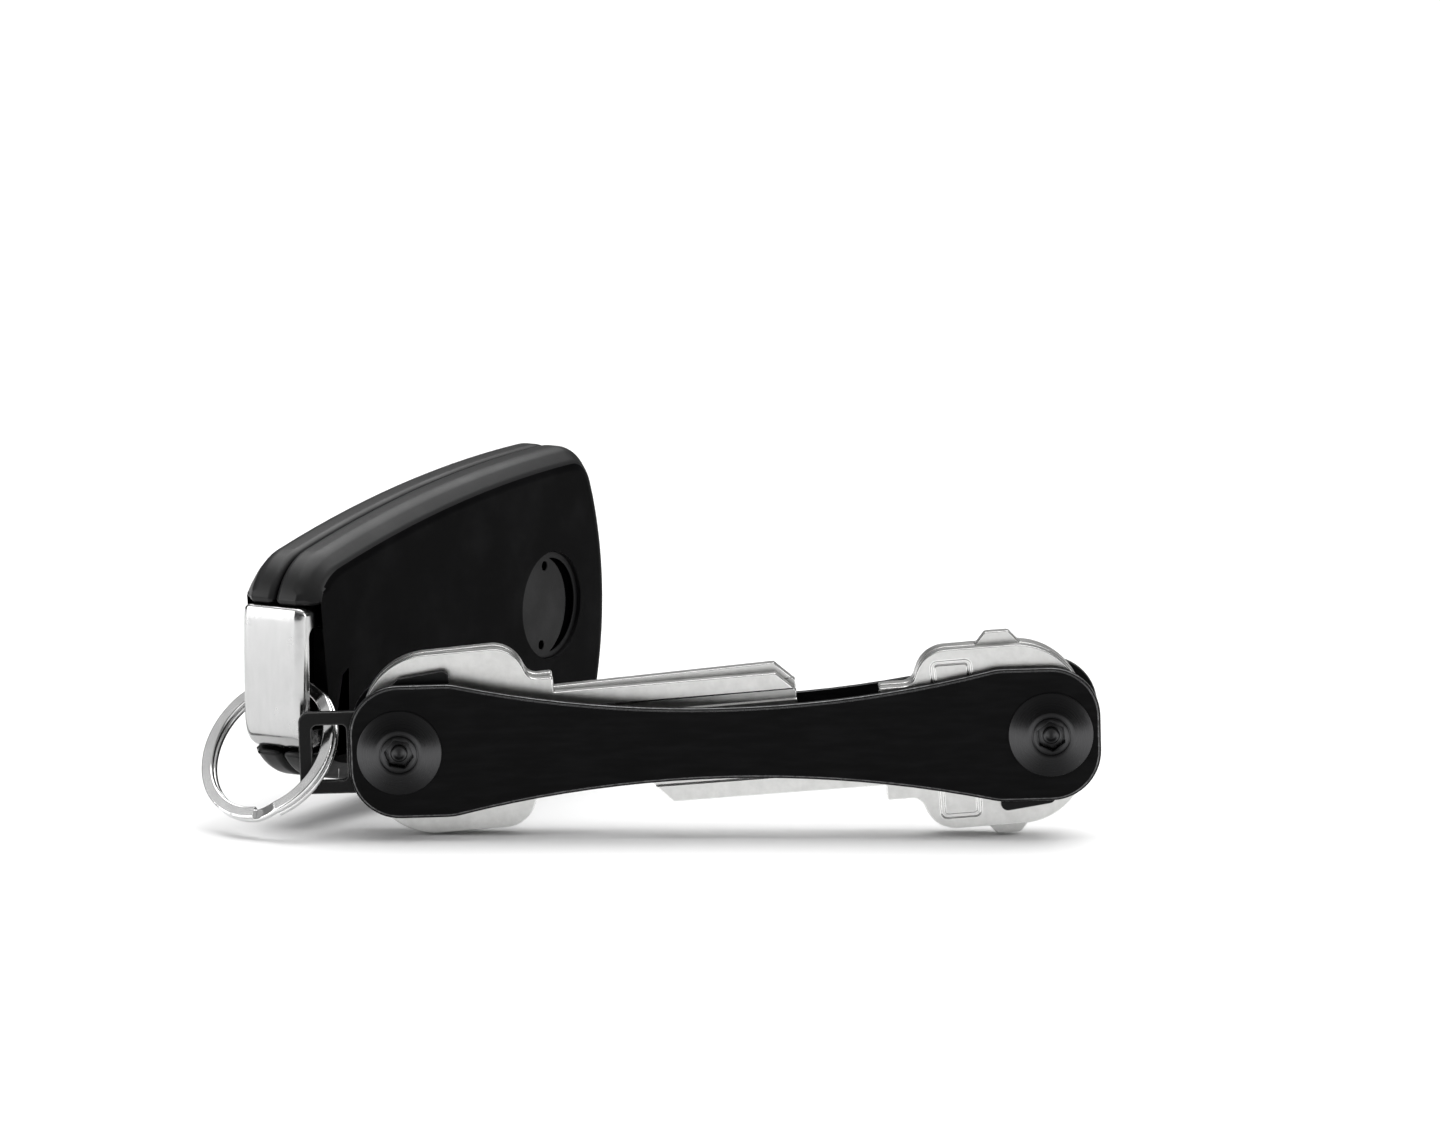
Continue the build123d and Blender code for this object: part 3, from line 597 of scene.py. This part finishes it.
def gold_plate(shade):
    made = Finish("gold_plate", Metallic=1.0)
    grain = made.grain(3.0, 4.0)
    made.feed(Base_Color=made.between(grain, scaled(shade, 0.8), scaled(shade, 1.1)),
              Roughness=0.16 + grain * 0.14)
    return made.material


def floor_paint(shade):
    made = Finish("pale_floor", Specular_IOR_Level=0.1)
    cloud = made.grain(0.004, 3.0)
    made.feed(Base_Color=made.between(cloud, scaled(shade, 0.985), shade),
              Roughness=0.8 + cloud * 0.1)
    return made.material


# ---- modelling --------------------------------------------------------------------------
MERGE_DISTANCE = 0.004 * MM
FLAT_ANGLE = math.radians(0.4)      # faces nearer in angle than this are one flat face
SHARP_ANGLE = 28.0                  # degrees from which an edge is rounded
WIRE_SHARP_ANGLE = 50.0             # the same, for the split ring's wire
SMOOTH_ANGLE = math.radians(32)
TURNED_SHARP_ANGLE = math.radians(16)
TURNED_SMOOTH_ANGLE = math.radians(30)
PIN_SIDES = 48


def clear_selection():
    if bpy.context.object is not None and bpy.context.object.mode != "OBJECT":
        bpy.ops.object.mode_set(mode="OBJECT")
    bpy.ops.object.select_all(action="DESELECT")


def round_edges(piece, width, segments, wanted):
    """Bevels the sharp edges whose middle the test accepts."""
    take(piece)
    bpy.ops.object.mode_set(mode="EDIT")
    bpy.ops.mesh.select_mode(type="EDGE")
    bpy.ops.mesh.select_all(action="DESELECT")
    bpy.ops.mesh.edges_select_sharp(sharpness=math.radians(SHARP_ANGLE))
    bpy.ops.object.mode_set(mode="OBJECT")
    points = piece.data.vertices
    for edge in piece.data.edges:
        if edge.select:
            first, second = (points[index].co for index in edge.vertices)
            edge.select = bool(wanted((first + second) / 2))
    bpy.ops.object.mode_set(mode="EDIT")
    bpy.ops.mesh.bevel(offset=width, segments=segments, affect="EDGES", clamp_overlap=False)
    bpy.ops.object.mode_set(mode="OBJECT")


def coat_faces(piece, finish, wanted):
    """Gives the faces that the test accepts another finish."""
    piece.data.materials.append(finish)
    for face in piece.data.polygons:
        if wanted(face.center, face.normal):
            face.material_index = len(piece.data.materials) - 1


def take(piece):
    """Makes one object the only one selected."""
    clear_selection()
    piece.select_set(True)
    bpy.context.view_layer.objects.active = piece


def select_faces(piece, wanted):
    """Leaves edit mode on the faces whose centre and normal the test accepts."""
    bpy.ops.object.mode_set(mode="EDIT")
    bpy.ops.mesh.select_mode(type="FACE")
    bpy.ops.mesh.select_all(action="DESELECT")
    bpy.ops.object.mode_set(mode="OBJECT")
    found = 0
    for face in piece.data.polygons:
        face.select = bool(wanted(face.center, face.normal))
        found += face.select
    if not found:
        raise RuntimeError(f"{piece.name} has no such face")
    bpy.ops.object.mode_set(mode="EDIT")


def finish_edges(piece, width, segments, sharp, material):
    """Rounds every sharp edge and shades the rest smooth."""
    bevel = piece.modifiers.new("edge", "BEVEL")
    bevel.width = width
    bevel.segments = segments
    bevel.limit_method = "ANGLE"
    bevel.angle_limit = math.radians(sharp)
    bevel.use_clamp_overlap = False
    bevel.miter_outer = "MITER_ARC"
    bevel.material = material
    take(piece)
    bpy.ops.object.modifier_apply(modifier=bevel.name)
    bpy.ops.object.shade_smooth_by_angle(angle=SMOOTH_ANGLE)
    weighted = piece.modifiers.new("flat_faces", "WEIGHTED_NORMAL")
    weighted.keep_sharp = True
    weighted.weight = 100
    bpy.ops.object.modifier_apply(modifier=weighted.name)


def copied(node, name):
    """A copy of a CAD node with its own, merged mesh and its flat faces whole."""
    take(frame["nodes"][node])
    bpy.ops.object.duplicate(linked=False)
    piece = bpy.context.object
    piece.name = name
    piece.data.name = name
    piece.parent = None
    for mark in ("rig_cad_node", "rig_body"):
        if mark in piece:
            del piece[mark]
    piece.data.materials.clear()
    bpy.ops.mesh.customdata_custom_splitnormals_clear()
    bpy.ops.object.mode_set(mode="EDIT")
    bpy.ops.mesh.select_mode(type="VERT")
    bpy.ops.mesh.select_all(action="SELECT")
    bpy.ops.mesh.remove_doubles(threshold=MERGE_DISTANCE)
    bpy.ops.mesh.dissolve_limited(angle_limit=FLAT_ANGLE, delimit={"NORMAL"})
    bpy.ops.object.mode_set(mode="OBJECT")
    return piece


def softened(node, width, finish, edge=None, segments=2, sharp=SHARP_ANGLE, rounded=None):
    """Stands in for a CAD node with its edges rounded as the real part's are.
    rounded is (width, segments, test) for edges that are rounded more than the rest."""
    piece = copied(node, f"{node}_finished")
    piece.data.materials.append(finish)
    if edge is not None:
        piece.data.materials.append(edge)
    if rounded is not None:
        round_edges(piece, *rounded)
    finish_edges(piece, width, segments, sharp, 0 if edge is None else 1)
    body = next(name for name, members in frame["record"]["behaviour"]["bodies"].items()
                if node in members)
    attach(piece, body)
    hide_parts(node)
    return piece


def turned_part(name, sizes, shank_radius, shank_length, socket):
    """A low cone head on a shank, its seat at Z = 0 and its top towards +Z."""
    clear_selection()
    bpy.ops.mesh.primitive_cylinder_add(
        vertices=sizes.turned_steps, radius=sizes.head_radius, depth=sizes.head_rim,
        location=(0, 0, sizes.head_rim / 2))
    part = bpy.context.object
    part.name = name
    part.data.name = name
    select_faces(part, lambda centre, normal: normal.z > 0.9)
    bpy.ops.mesh.inset(thickness=sizes.head_radius - sizes.head_flat,
                       depth=sizes.head_height - sizes.head_rim)
    bpy.ops.mesh.inset(thickness=sizes.collar_width, depth=0)
    bpy.ops.mesh.inset(thickness=sizes.groove_slant, depth=-sizes.groove_depth)
    bpy.ops.mesh.inset(thickness=sizes.groove_width, depth=0)
    bpy.ops.mesh.inset(thickness=sizes.groove_slant, depth=sizes.groove_depth)
    select_faces(part, lambda centre, normal: normal.z < -0.9)
    bpy.ops.mesh.inset(thickness=sizes.head_radius - shank_radius, depth=0)
    bpy.ops.mesh.extrude_region_move(TRANSFORM_OT_translate={"value": (0, 0, -shank_length)})
    bpy.ops.object.mode_set(mode="OBJECT")
    if socket:
        cut_socket(part, sizes)
    take(part)
    bpy.ops.object.mode_set(mode="EDIT")
    bpy.ops.mesh.select_mode(type="EDGE")
    bpy.ops.mesh.select_all(action="DESELECT")
    bpy.ops.mesh.edges_select_sharp(sharpness=TURNED_SHARP_ANGLE)
    bpy.ops.mesh.bevel(offset=sizes.head_edge, segments=2, affect="EDGES", clamp_overlap=True)
    bpy.ops.object.mode_set(mode="OBJECT")
    bpy.ops.object.shade_smooth_by_angle(angle=TURNED_SMOOTH_ANGLE)
    return part


def cut_socket(part, sizes):
    """Sinks a hexagon socket with a low disc at its bottom into the head."""
    clear_selection()
    bpy.ops.mesh.primitive_cylinder_add(
        vertices=6, radius=sizes.socket_flats / math.sqrt(3), depth=2 * sizes.socket_depth,
        location=(0, 0, sizes.head_height))
    cutter = bpy.context.object
    cut = part.modifiers.new("socket", "BOOLEAN")
    cut.operation = "DIFFERENCE"
    cut.solver = "EXACT"
    cut.object = cutter
    take(part)
    bpy.ops.object.modifier_apply(modifier=cut.name)
    bpy.data.objects.remove(cutter)
    floor = sizes.head_height - sizes.socket_depth
    bpy.ops.mesh.primitive_cylinder_add(
        vertices=PIN_SIDES, radius=sizes.pin_radius, depth=sizes.pin_height,
        location=(0, 0, floor + sizes.pin_rise))
    pin = bpy.context.object
    select_faces(pin, lambda centre, normal: normal.z > 0.9)
    bpy.ops.mesh.inset(thickness=sizes.pin_edge, depth=sizes.pin_edge_rise)
    bpy.ops.mesh.inset(thickness=sizes.pin_dish_edge, depth=-sizes.pin_dish_depth)
    bpy.ops.object.mode_set(mode="OBJECT")
    clear_selection()
    pin.select_set(True)
    part.select_set(True)
    bpy.context.view_layer.objects.active = part
    bpy.ops.object.join()


def set_in_place(part, place):
    """Turns and moves a part to its place and keeps that in its mesh."""
    part.matrix_world = place
    take(part)
    bpy.ops.object.transform_apply(location=True, rotation=True, scale=True)


def facing_place(origin, out, roll):
    """A place whose Z points out, rolled by an angle."""
    side = ALONG_PLATES
    up = out.cross(side)
    turn = Matrix((side, up, out)).transposed().to_4x4()
    return Matrix.Translation(origin) @ turn @ Matrix.Rotation(roll, 4, "Z")


# ---- operators --------------------------------------------------------------------------
class OBJECT_OT_plates(bpy.types.Operator):
    """Finishes the two black anodised plates"""
    bl_idname = "key_organiser.plates"
    bl_label = "Plates"

    def execute(self, context):
        sizes = context.scene.organiser_sizes
        shades = context.scene.organiser_colours
        black = anodised(shades.plate)
        worn = rubbed_edge("anodised_edge", shades.plate_wear)
        for node in ("front_plate", "back_plate"):
            softened(node, sizes.plate_edge, black, worn)
        return {"FINISHED"}


class OBJECT_OT_screws(bpy.types.Operator):
    """Turns the hexagon socket screws and the posts that they fasten"""
    bl_idname = "key_organiser.screws"
    bl_label = "Screws and posts"

    def execute(self, context):
        sizes = context.scene.organiser_sizes
        shades = context.scene.organiser_colours
        screw = turned_part("left_screw", sizes, sizes.thread_radius, sizes.screw_length, True)
        post_length = BODY_BACK - PLATE_FRONT - sizes.post_gap
        post = turned_part("left_post", sizes, sizes.post_radius, post_length, False)
        for part, node, depth, out in ((screw, "screws", PLATE_FRONT, FACING),
                                       (post, "posts", BODY_BACK, -FACING)):
            take(part)
            bpy.ops.object.duplicate(linked=False)
            other = bpy.context.object
            other.name = part.name.replace("left", "right")
            for piece, centre, roll in ((part, LEFT_POST, sizes.left_roll),
                                        (other, RIGHT_POST, sizes.right_roll)):
                origin = Vector((centre.x, depth, centre.z))
                piece.data.materials.clear()
                piece.data.materials.append(turned_black(shades.screw, centre, f"{piece.name}_black"))
                set_in_place(piece, facing_place(origin, out, roll))
                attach(piece, "organiser")
                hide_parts(node)
        return {"FINISHED"}


class OBJECT_OT_spacers(bpy.types.Operator):
    """Finishes the cam spacers, washers and shims on the posts"""
    bl_idname = "key_organiser.spacers"
    bl_label = "Spacers and washers"

    def execute(self, context):
        sizes = context.scene.organiser_sizes
        shades = context.scene.organiser_colours
        black = black_steel(shades.spacer)
        worn = rubbed_edge("spacer_edge", shades.spacer_wear)
        for node in ("left_cam_spacer", "right_cam_spacer"):
            softened(node, sizes.spacer_edge, black, worn)
        softened("loop_piece", sizes.loop_edge, black, worn, segments=3)
        plain = washer_steel(shades.washer)
        for node in ("left_spacer_washer", "back_washers", "key_shims"):
            softened(node, sizes.spacer_edge / 4, plain)
        return {"FINISHED"}


class OBJECT_OT_keys(bpy.types.Operator):
    """Finishes the five nickel plated keys"""
    bl_idname = "key_organiser.keys"
    bl_label = "Keys"

    def execute(self, context):
        sizes = context.scene.organiser_sizes
        shades = context.scene.organiser_colours
        edge = bright_edge(shades.key_edge)
        for name in ("left_front_key", "left_back_key", "right_front_key", "right_middle_key",
                     "right_back_key"):
            pivot = anchor(f"{name}_turn")
            direction = Vector((middle_of(name).x - pivot.x, 0, 0)).normalized()
            finish = nickel(shades.key, pivot, direction, f"{name}_nickel")
            softened(name, sizes.key_edge, finish, edge)
        return {"FINISHED"}


class OBJECT_OT_split_ring(bpy.types.Operator):
    """Finishes the polished split ring"""
    bl_idname = "key_organiser.split_ring"
    bl_label = "Split ring"

    def execute(self, context):
        steel = polished(context.scene.organiser_colours.ring)
        softened("split_ring", context.scene.organiser_sizes.ring_edge, steel,
                 segments=1, sharp=WIRE_SHARP_ANGLE)
        return {"FINISHED"}


class OBJECT_OT_fob_case(bpy.types.Operator):
    """Finishes the fob's two shells, its battery cover and seal"""
    bl_idname = "key_organiser.fob_case"
    bl_label = "Fob case"

    def execute(self, context):
        sizes = context.scene.fob_sizes
        shades = context.scene.organiser_colours
        shell = moulded("shell_plastic", shades.shell)
        # Painted light: a lighter, glossier copy of the shell plastic for the shells' sides, standing in
        # for the light that they catch.
        side = moulded("shell_side", scaled(shades.shell, 1.6), 0.34, 0.3, 6.0)
        # Painted shade: a near-black, matt copy of the plastic for the cover's slot, standing in for the
        # shade in the groove.
        painted_slot_shade = moulded("cover_slot_painted_shade", scaled(shades.shell, 0.2), 0.6, 0.0)

        def on_outline(place):
            """The bevel round a shell's face, and not an opening in the face."""
            from_cover = place - COVER_CENTRE
            along = from_cover.dot(FOB_LONG)
            across = abs(from_cover.dot(FOB_UP))
            outside = abs(place.dot(FOB_OUT) - SEAM) > sizes.face_level
            return outside and (across > sizes.cover_across or along > sizes.cover_along)

        for node in ("fob_cover_shell", "fob_button_shell"):
            piece = softened(node, sizes.seam_edge, shell,
                             rounded=(sizes.shell_edge, 5, on_outline))
            # The side faces take the painted-light copy of the plastic.
            coat_faces(piece, side, lambda centre, normal: abs(normal.dot(FOB_OUT)) < 0.9)
        cover = softened("fob_battery_cover", sizes.cover_edge,
                         moulded("cover_plastic", scaled(shades.shell, 1.8), 0.42, 0.12))
        # The faces in the slot, below the cover's face, take the painted shade.
        coat_faces(cover, painted_slot_shade, lambda centre, normal:
                   centre.dot(FOB_OUT) < COVER_CENTRE.dot(FOB_OUT) - sizes.slot_level)
        softened("fob_cover_seal", sizes.part_edge, rubber(shades.seal))
        return {"FINISHED"}


class OBJECT_OT_spare_key(bpy.types.Operator):
    """Finishes the metal end cap and the spare key's blade"""
    bl_idname = "key_organiser.spare_key"
    bl_label = "Spare key"

    def execute(self, context):
        sizes = context.scene.fob_sizes
        shades = context.scene.organiser_colours
        cap = softened("fob_end_cap", sizes.cap_edge, chrome(shades.chrome), segments=3)
        core = moulded("cap_core_plastic", shades.shell)
        coat_faces(cap, core, lambda centre, normal:
                   centre.dot(FOB_LONG) > CAP_END + sizes.cap_core and abs(normal.dot(FOB_OUT)) < 0.5)
        blade = nickel(shades.key, middle_of("spare_key_blade"), FOB_LONG, "spare_blade_nickel")
        softened("spare_key_blade", sizes.part_edge * 2, blade, bright_edge(shades.key_edge))
        return {"FINISHED"}


class OBJECT_OT_buttons(bpy.types.Operator):
    """Finishes the three buttons with their symbols and the release slider"""
    bl_idname = "key_organiser.buttons"
    bl_label = "Buttons and slider"

    def execute(self, context):
        sizes = context.scene.fob_sizes
        shades = context.scene.organiser_colours
        symbols = {
            "lock_button": lambda x, y: padlock(x, y, 0.0),
            "unlock_button": lambda x, y: padlock(x, y, 0.8),
            "boot_button": car_boot,
        }
        for node, symbol in symbols.items():
            finish = rubber_key(f"{node}_rubber", shades.button, shades.symbol,
                                middle_of(node), symbol)
            softened(node, sizes.button_edge, finish)
        thumb = moulded("slider_plastic", scaled(shades.button, 0.7), 0.45, 0.3)
        softened("spare_key_slider", sizes.part_edge, thumb)
        return {"FINISHED"}


class OBJECT_OT_electronics(bpy.types.Operator):
    """Finishes the cell, the board, its contacts and its switches"""
    bl_idname = "key_organiser.electronics"
    bl_label = "Electronics"

    def execute(self, context):
        sizes = context.scene.fob_sizes
        shades = context.scene.organiser_colours
        parts = (("coin_cell", cell_steel(shades.cell), "cell"),
                 ("circuit_board", circuit(shades.board, shades.gold), "board"),
                 ("battery_contacts", gold_plate(shades.gold), "contact"),
                 ("button_switches", moulded("switch_plastic", shades.switch, 0.3, 0.5, 3.0), "switch"))
        for node, finish, slot in parts:
            softened(node, sizes.part_edge, finish)
        return {"FINISHED"}


def softbox(name, place, aim, width, height, power):
    """A rectangular light that faces its aim."""
    light = bpy.data.lights.new(name, "AREA")
    light.shape = "RECTANGLE"
    light.size = width
    light.size_y = height
    light.energy = power
    lamp = bpy.data.objects.new(name, light)
    lamp.location = place
    lamp.rotation_euler = (Vector(aim) - Vector(place)).to_track_quat("-Z", "Y").to_euler()
    bpy.context.scene.collection.objects.link(lamp)
    return lamp


class OBJECT_OT_stage(bpy.types.Operator):
    """Sets the pale floor, the studio light and the camera"""
    bl_idname = "key_organiser.stage"
    bl_label = "Stage"

    def execute(self, context):
        stage = context.scene.stage_sizes
        clear_selection()
        bpy.ops.mesh.primitive_plane_add(size=stage.floor_size, location=(0, 0, 0))
        floor = bpy.context.object
        floor.name = "floor"
        floor.data.materials.append(floor_paint(context.scene.organiser_colours.floor))

        world = bpy.data.worlds.new("studio")
        context.scene.world = world
        world.use_nodes = True
        nodes, links = world.node_tree.nodes, world.node_tree.links
        height = nodes.new("ShaderNodeSeparateXYZ")
        links.new(nodes.new("ShaderNodeTexCoord").outputs["Generated"], height.inputs[0])
        fade = nodes.new("ShaderNodeMapRange")
        fade.interpolation_type = "SMOOTHSTEP"
        limits = (stage.fade_low, stage.fade_high, stage.low_surround, stage.surround)
        for socket, value in zip(fade.inputs[1:5], limits):
            socket.default_value = value
        links.new(height.outputs["Z"], fade.inputs["Value"])
        background = nodes["Background"]
        background.inputs["Color"].default_value = (1, 1, 1, 1)
        links.new(fade.outputs[0], background.inputs["Strength"])
        overhead = bpy.data.lights.new("overhead", "SUN")
        overhead.energy = stage.overhead
        overhead.angle = stage.overhead_spread
        lamp = bpy.data.objects.new("overhead", overhead)
        lamp.rotation_euler = (stage.overhead_lean, stage.overhead_tilt, 0)
        context.scene.collection.objects.link(lamp)
        x, y, z = stage.side_place
        for side in (-1, 1):
            softbox(f"side_{side}", (side * x, y, z), stage.side_aim, stage.side_width,
                    stage.side_height, stage.side_power)

        middle = (LEFT_POST + RIGHT_POST) / 2
        target = Vector((middle.x + stage.camera_side, PLATE_FRONT, 0))
        away = Vector((0, -math.cos(stage.camera_height), math.sin(stage.camera_height)))
        data = bpy.data.cameras.new("camera")
        data.lens = stage.lens
        data.sensor_width = stage.sensor
        data.shift_x = stage.lens_shift
        data.clip_start = stage.near_clip
        data.clip_end = stage.far_clip
        camera = bpy.data.objects.new("camera", data)
        camera.location = target + away * stage.camera_distance
        camera.rotation_euler = (math.radians(90) - stage.camera_pitch, 0, 0)
        context.scene.collection.objects.link(camera)
        context.scene.camera = camera
        context.scene.view_settings.view_transform = "Standard"
        return {"FINISHED"}


class VIEW3D_PT_key_organiser(bpy.types.Panel):
    """Everything that makes the key organiser"""
    bl_label = "Key organiser"
    bl_idname = "VIEW3D_PT_key_organiser"
    bl_space_type = "VIEW_3D"
    bl_region_type = "UI"
    bl_category = "Key organiser"

    def draw(self, context):
        for operator in OPERATORS:
            self.layout.operator(operator.bl_idname)
        for group in ("organiser_sizes", "fob_sizes", "organiser_colours", "stage_sizes"):
            owner = getattr(context.scene, group)
            column = self.layout.column()
            for name in owner.__annotations__:
                column.prop(owner, name)


GROUPS = {
    "organiser_sizes": OrganiserSizes,
    "fob_sizes": FobSizes,
    "organiser_colours": Colours,
    "stage_sizes": StageSizes,
}
OPERATORS = (OBJECT_OT_plates, OBJECT_OT_screws, OBJECT_OT_spacers, OBJECT_OT_keys,
             OBJECT_OT_split_ring, OBJECT_OT_fob_case, OBJECT_OT_spare_key, OBJECT_OT_buttons,
             OBJECT_OT_electronics, OBJECT_OT_stage)


def register():
    for group in (*GROUPS.values(), *OPERATORS, VIEW3D_PT_key_organiser):
        bpy.utils.register_class(group)
    for name, group in GROUPS.items():
        setattr(bpy.types.Scene, name, PointerProperty(type=group))


def unregister():
    for name in GROUPS:
        delattr(bpy.types.Scene, name)
    for group in reversed((*GROUPS.values(), *OPERATORS, VIEW3D_PT_key_organiser)):
        bpy.utils.unregister_class(group)


def main():
    register()
    for step in (bpy.ops.key_organiser.stage, bpy.ops.key_organiser.plates,
                 bpy.ops.key_organiser.screws, bpy.ops.key_organiser.spacers,
                 bpy.ops.key_organiser.keys, bpy.ops.key_organiser.split_ring,
                 bpy.ops.key_organiser.fob_case, bpy.ops.key_organiser.spare_key,
                 bpy.ops.key_organiser.buttons, bpy.ops.key_organiser.electronics):
        step()


if __name__ == "__main__":
    main()
